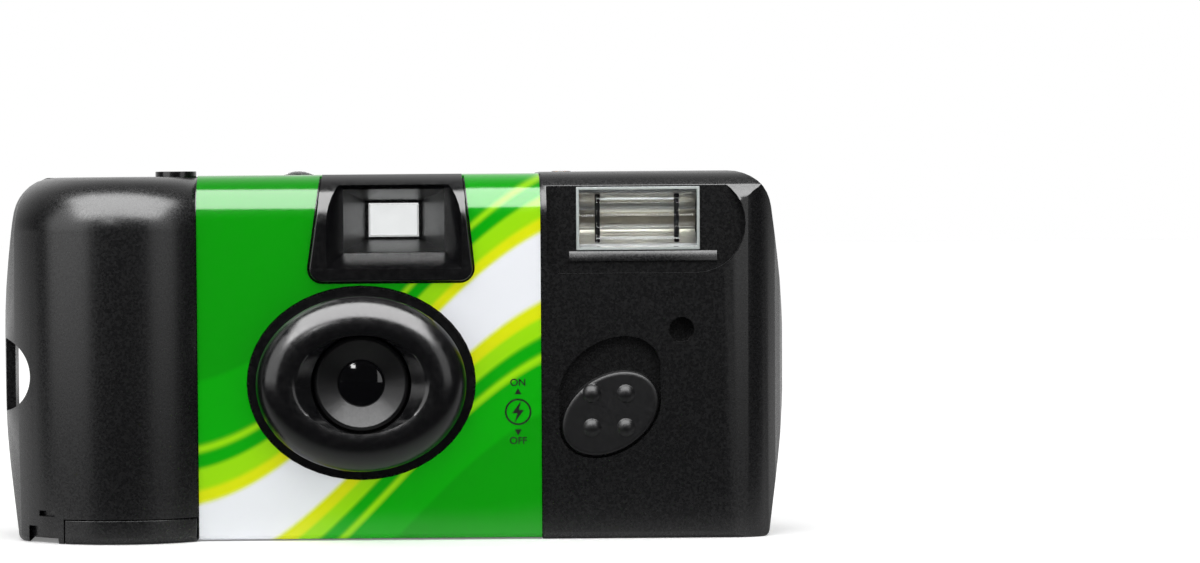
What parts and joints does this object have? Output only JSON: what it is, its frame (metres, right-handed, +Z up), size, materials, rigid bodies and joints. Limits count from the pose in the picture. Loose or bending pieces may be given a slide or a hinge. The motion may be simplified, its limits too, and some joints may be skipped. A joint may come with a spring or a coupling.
{
  "type": "disposable film camera",
  "caption": "Single-use film camera with built-in flash: printed label round the middle, oval lens ring, black grip, slide switch and thumb wheel.",
  "frame": {"origin": "middle of the base, halfway between the lens ring's front and the back's bulge", "axes": "+X to the right of someone facing the lens, +Y to the back, +Z up"},
  "size_m": [0.11, 0.034, 0.0516],
  "materials": {
    "textured_black": "fine texture",
    "printed_film": "printed gloss",
    "gloss_black": "gloss",
    "satin_black": "satin",
    "clear": "clear",
    "amber": "clear amber",
    "spring_steel": "bright",
    "can_metal": "painted",
    "film_base": "gloss",
    "white_plastic": "satin",
    "bright_metal": "polished",
    "flash_glass": "clear",
    "board": "satin",
    "component_body": "satin",
    "contact_brass": "bright"
  },
  "bodies": {
    "camera": {"front_cover": "textured_black", "rear_cover": "textured_black", "label_wrap": "printed_film", "lens_ring": "gloss_black", "viewfinder_bezel": "gloss_black", "flash_window": "clear", "counter_window": "clear", "viewfinder_eyepiece": "clear", "ready_light_window": "amber", "lens_holder": "satin_black", "taking_lens": "clear", "shutter_plate": "satin_black", "shutter_spring": "spring_steel", "release_spring": "spring_steel", "viewfinder_objective": "clear", "main_frame": "satin_black", "light_box": "satin_black", "finder_tunnel": "satin_black", "cartridge_shell": "can_metal", "cartridge_top_cap": "can_metal", "cartridge_bottom_cap": "can_metal", "film_strip": "film_base", "flash_reflector": "bright_metal", "flash_tube": "flash_glass", "circuit_board": "board", "capacitor": "component_body", "transformer": "component_body", "trigger_coil": "component_body", "ready_lamp": "amber", "sync_contact": "contact_brass", "battery": "can_metal", "battery_contact_left": "contact_brass", "battery_contact_right": "contact_brass"},
    "advance": {"thumb_wheel": "satin_black", "cartridge_spool": "satin_black"},
    "sprocket": {"sprocket_wheel": "white_plastic"},
    "counter": {"counter_dial": "white_plastic"},
    "supply": {"supply_spool": "satin_black", "film_roll": "film_base"},
    "button": {"shutter_button": "gloss_black"},
    "lever": {"release_lever": "satin_black"},
    "shutter": {"shutter_blade": "satin_black"},
    "switch": {"flash_switch": "satin_black", "switch_contact": "contact_brass"},
    "door": {"cartridge_door": "textured_black"}
  },
  "joints": [
    {"name": "advance_turn", "type": "hinge", "parent": "camera", "child": "advance", "pos_m": [-0.0334, 0.0028, 0.046], "axis": [0, 0, 1], "continuous": true},
    {"name": "sprocket_turn", "type": "hinge", "parent": "camera", "child": "sprocket", "pos_m": [-0.0112, 0.00695, 0.0378], "axis": [0, 0, 1], "continuous": true},
    {"name": "counter_turn", "type": "hinge", "parent": "camera", "child": "counter", "pos_m": [-0.0154, 0.0065, 0.049], "axis": [0, 0, 1], "continuous": true},
    {"name": "supply_turn", "type": "hinge", "parent": "camera", "child": "supply", "pos_m": [0.033, 0.0041, 0.022], "axis": [0, 0, 1], "continuous": true},
    {"name": "button_press", "type": "slide", "parent": "camera", "child": "button", "axis": [0, 0, -1], "range_m": [0, 0.0012], "stiffness_N_per_m": 400},
    {"name": "lever_tilt", "type": "hinge", "parent": "camera", "child": "lever", "pos_m": [-0.014, -0.0052, 0.0387], "axis": [0, -1, 0], "range_deg": [0, 10.3]},
    {"name": "shutter_swing", "type": "hinge", "parent": "camera", "child": "shutter", "pos_m": [-0.011, -0.00805, 0.03], "axis": [0, 1, 0], "range_deg": [0, 35], "stiffness_Nm_per_rad": 0.0005},
    {"name": "switch_slide", "type": "slide", "parent": "camera", "child": "switch", "axis": [0, 0, 1], "range_m": [0, 0.0045]},
    {"name": "door_hinge", "type": "hinge", "parent": "camera", "child": "door", "pos_m": [-0.03655, 0.009, 0.0008], "axis": [1, 0, 0], "range_deg": [0, 92]}
  ],
  "couplings": [
    {"joint": "sprocket_turn", "follows": "advance_turn", "ratio": 0.9504},
    {"joint": "supply_turn", "follows": "advance_turn", "ratio": 0.7099},
    {"joint": "counter_turn", "follows": "advance_turn", "ratio": -0.0264},
    {"joint": "lever_tilt", "follows": "button_press", "rad_per_m": 147.06}
  ]
}
